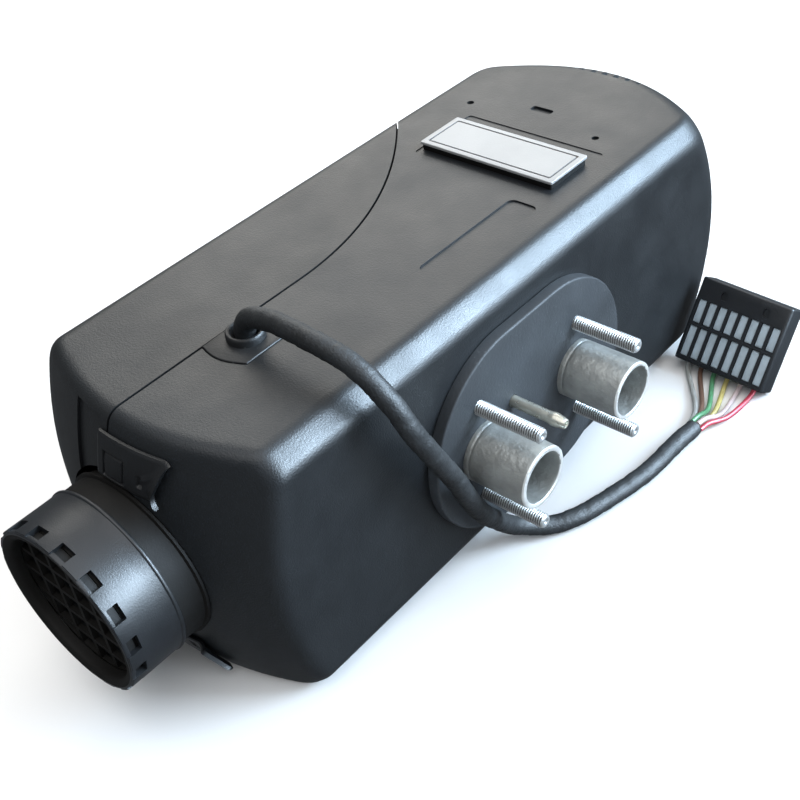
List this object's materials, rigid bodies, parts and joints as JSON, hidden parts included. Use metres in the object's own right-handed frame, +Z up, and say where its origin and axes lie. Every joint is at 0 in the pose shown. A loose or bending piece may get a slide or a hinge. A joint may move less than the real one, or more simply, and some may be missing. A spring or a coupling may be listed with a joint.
{
  "type": "diesel air heater",
  "caption": "Air heater lying on its side: split plastic casing with intake hood and outlet ring, pipe stubs and studs on a rubber pad, blower and heat exchanger inside, cable and connector.",
  "frame": {"origin": "middle of the base that the heater lies on, under the box of the heater without its cable", "axes": "+X along the heater from the intake hood to the outlet, +Y from the pipe side to the cover side, +Z up"},
  "size_m": [0.348, 0.1705, 0.1328],
  "materials": {
    "casing_plastic": "moulded, fine grain",
    "satin_plastic": "moulded, satin",
    "grille_plastic": "moulded, matt",
    "rubber": "matt, dusty",
    "cast_aluminium": "as cast, matt",
    "machined_steel": "satin",
    "zinc_steel": "zinc plated",
    "fuel_metal": "dull, drawn",
    "blower_plastic": "moulded",
    "electronics_plastic": "moulded",
    "cable_tape": "wound cloth tape",
    "plate_metal": "satin",
    "connector_plastic": "moulded",
    "terminal_plastic": "moulded",
    "wire_red": "soft sleeve",
    "wire_white": "soft sleeve",
    "wire_yellow": "soft sleeve",
    "wire_green": "soft sleeve",
    "wire_brown": "soft sleeve",
    "wire_grey": "soft sleeve"
  },
  "bodies": {
    "casing": {"lower_shell": "casing_plastic", "outlet_ring": "satin_plastic", "outlet_grille": "grille_plastic", "mount_gasket": "rubber", "heat_exchanger": "cast_aluminium", "combustion_air_tube": "cast_aluminium", "exhaust_tube": "cast_aluminium", "stud_1": "zinc_steel", "stud_2": "zinc_steel", "stud_3": "zinc_steel", "stud_4": "zinc_steel", "fuel_pipe": "fuel_metal", "burner_tube": "machined_steel", "glow_plug": "machined_steel", "glow_plug_cap": "rubber", "temperature_sensor": "electronics_plastic", "sensor_clip": "machined_steel", "motor_housing": "machined_steel", "bearing_front": "machined_steel", "bearing_rear": "machined_steel", "blower_housing": "cast_aluminium", "control_unit": "electronics_plastic", "cable_grommet": "rubber", "name_plate": "plate_metal", "harness_sheath": "cable_tape", "connector_body": "connector_plastic", "terminal_row_lower": "terminal_plastic", "terminal_row_upper": "terminal_plastic", "wire_red": "wire_red", "wire_white": "wire_white", "wire_yellow": "wire_yellow", "wire_green": "wire_green", "wire_brown": "wire_brown", "wire_grey": "wire_grey"},
    "cover": {"upper_cover": "casing_plastic"},
    "latch_up": {"latch_upper": "satin_plastic"},
    "latch_low": {"latch_lower": "satin_plastic"},
    "hood": {"intake_hood": "satin_plastic", "intake_grille": "grille_plastic"},
    "rotor": {"motor_shaft": "machined_steel", "hot_air_impeller": "blower_plastic", "combustion_impeller": "cast_aluminium"}
  },
  "joints": [
    {"name": "rotor_spin", "type": "hinge", "parent": "casing", "child": "rotor", "pos_m": [-0.078, 0.0165, 0.0575], "axis": [1, 0, 0], "continuous": true},
    {"name": "cover_open", "type": "hinge", "parent": "casing", "child": "cover", "pos_m": [0.076, 0.077, 0.0575], "axis": [0, 0, -1], "range_deg": [0, 35]},
    {"name": "hood_pull", "type": "slide", "parent": "casing", "child": "hood", "axis": [-1, 0, 0], "range_m": [0, 0.045]},
    {"name": "latch_upper_flex", "type": "hinge", "parent": "cover", "child": "latch_up", "pos_m": [-0.141, 0.0285, 0.1025], "axis": [0, 0, -1], "range_deg": [0, 12], "stiffness_Nm_per_rad": 0.2},
    {"name": "latch_lower_flex", "type": "hinge", "parent": "cover", "child": "latch_low", "pos_m": [-0.141, 0.0285, 0.0125], "axis": [0, 0, -1], "range_deg": [0, 12], "stiffness_Nm_per_rad": 0.2}
  ]
}
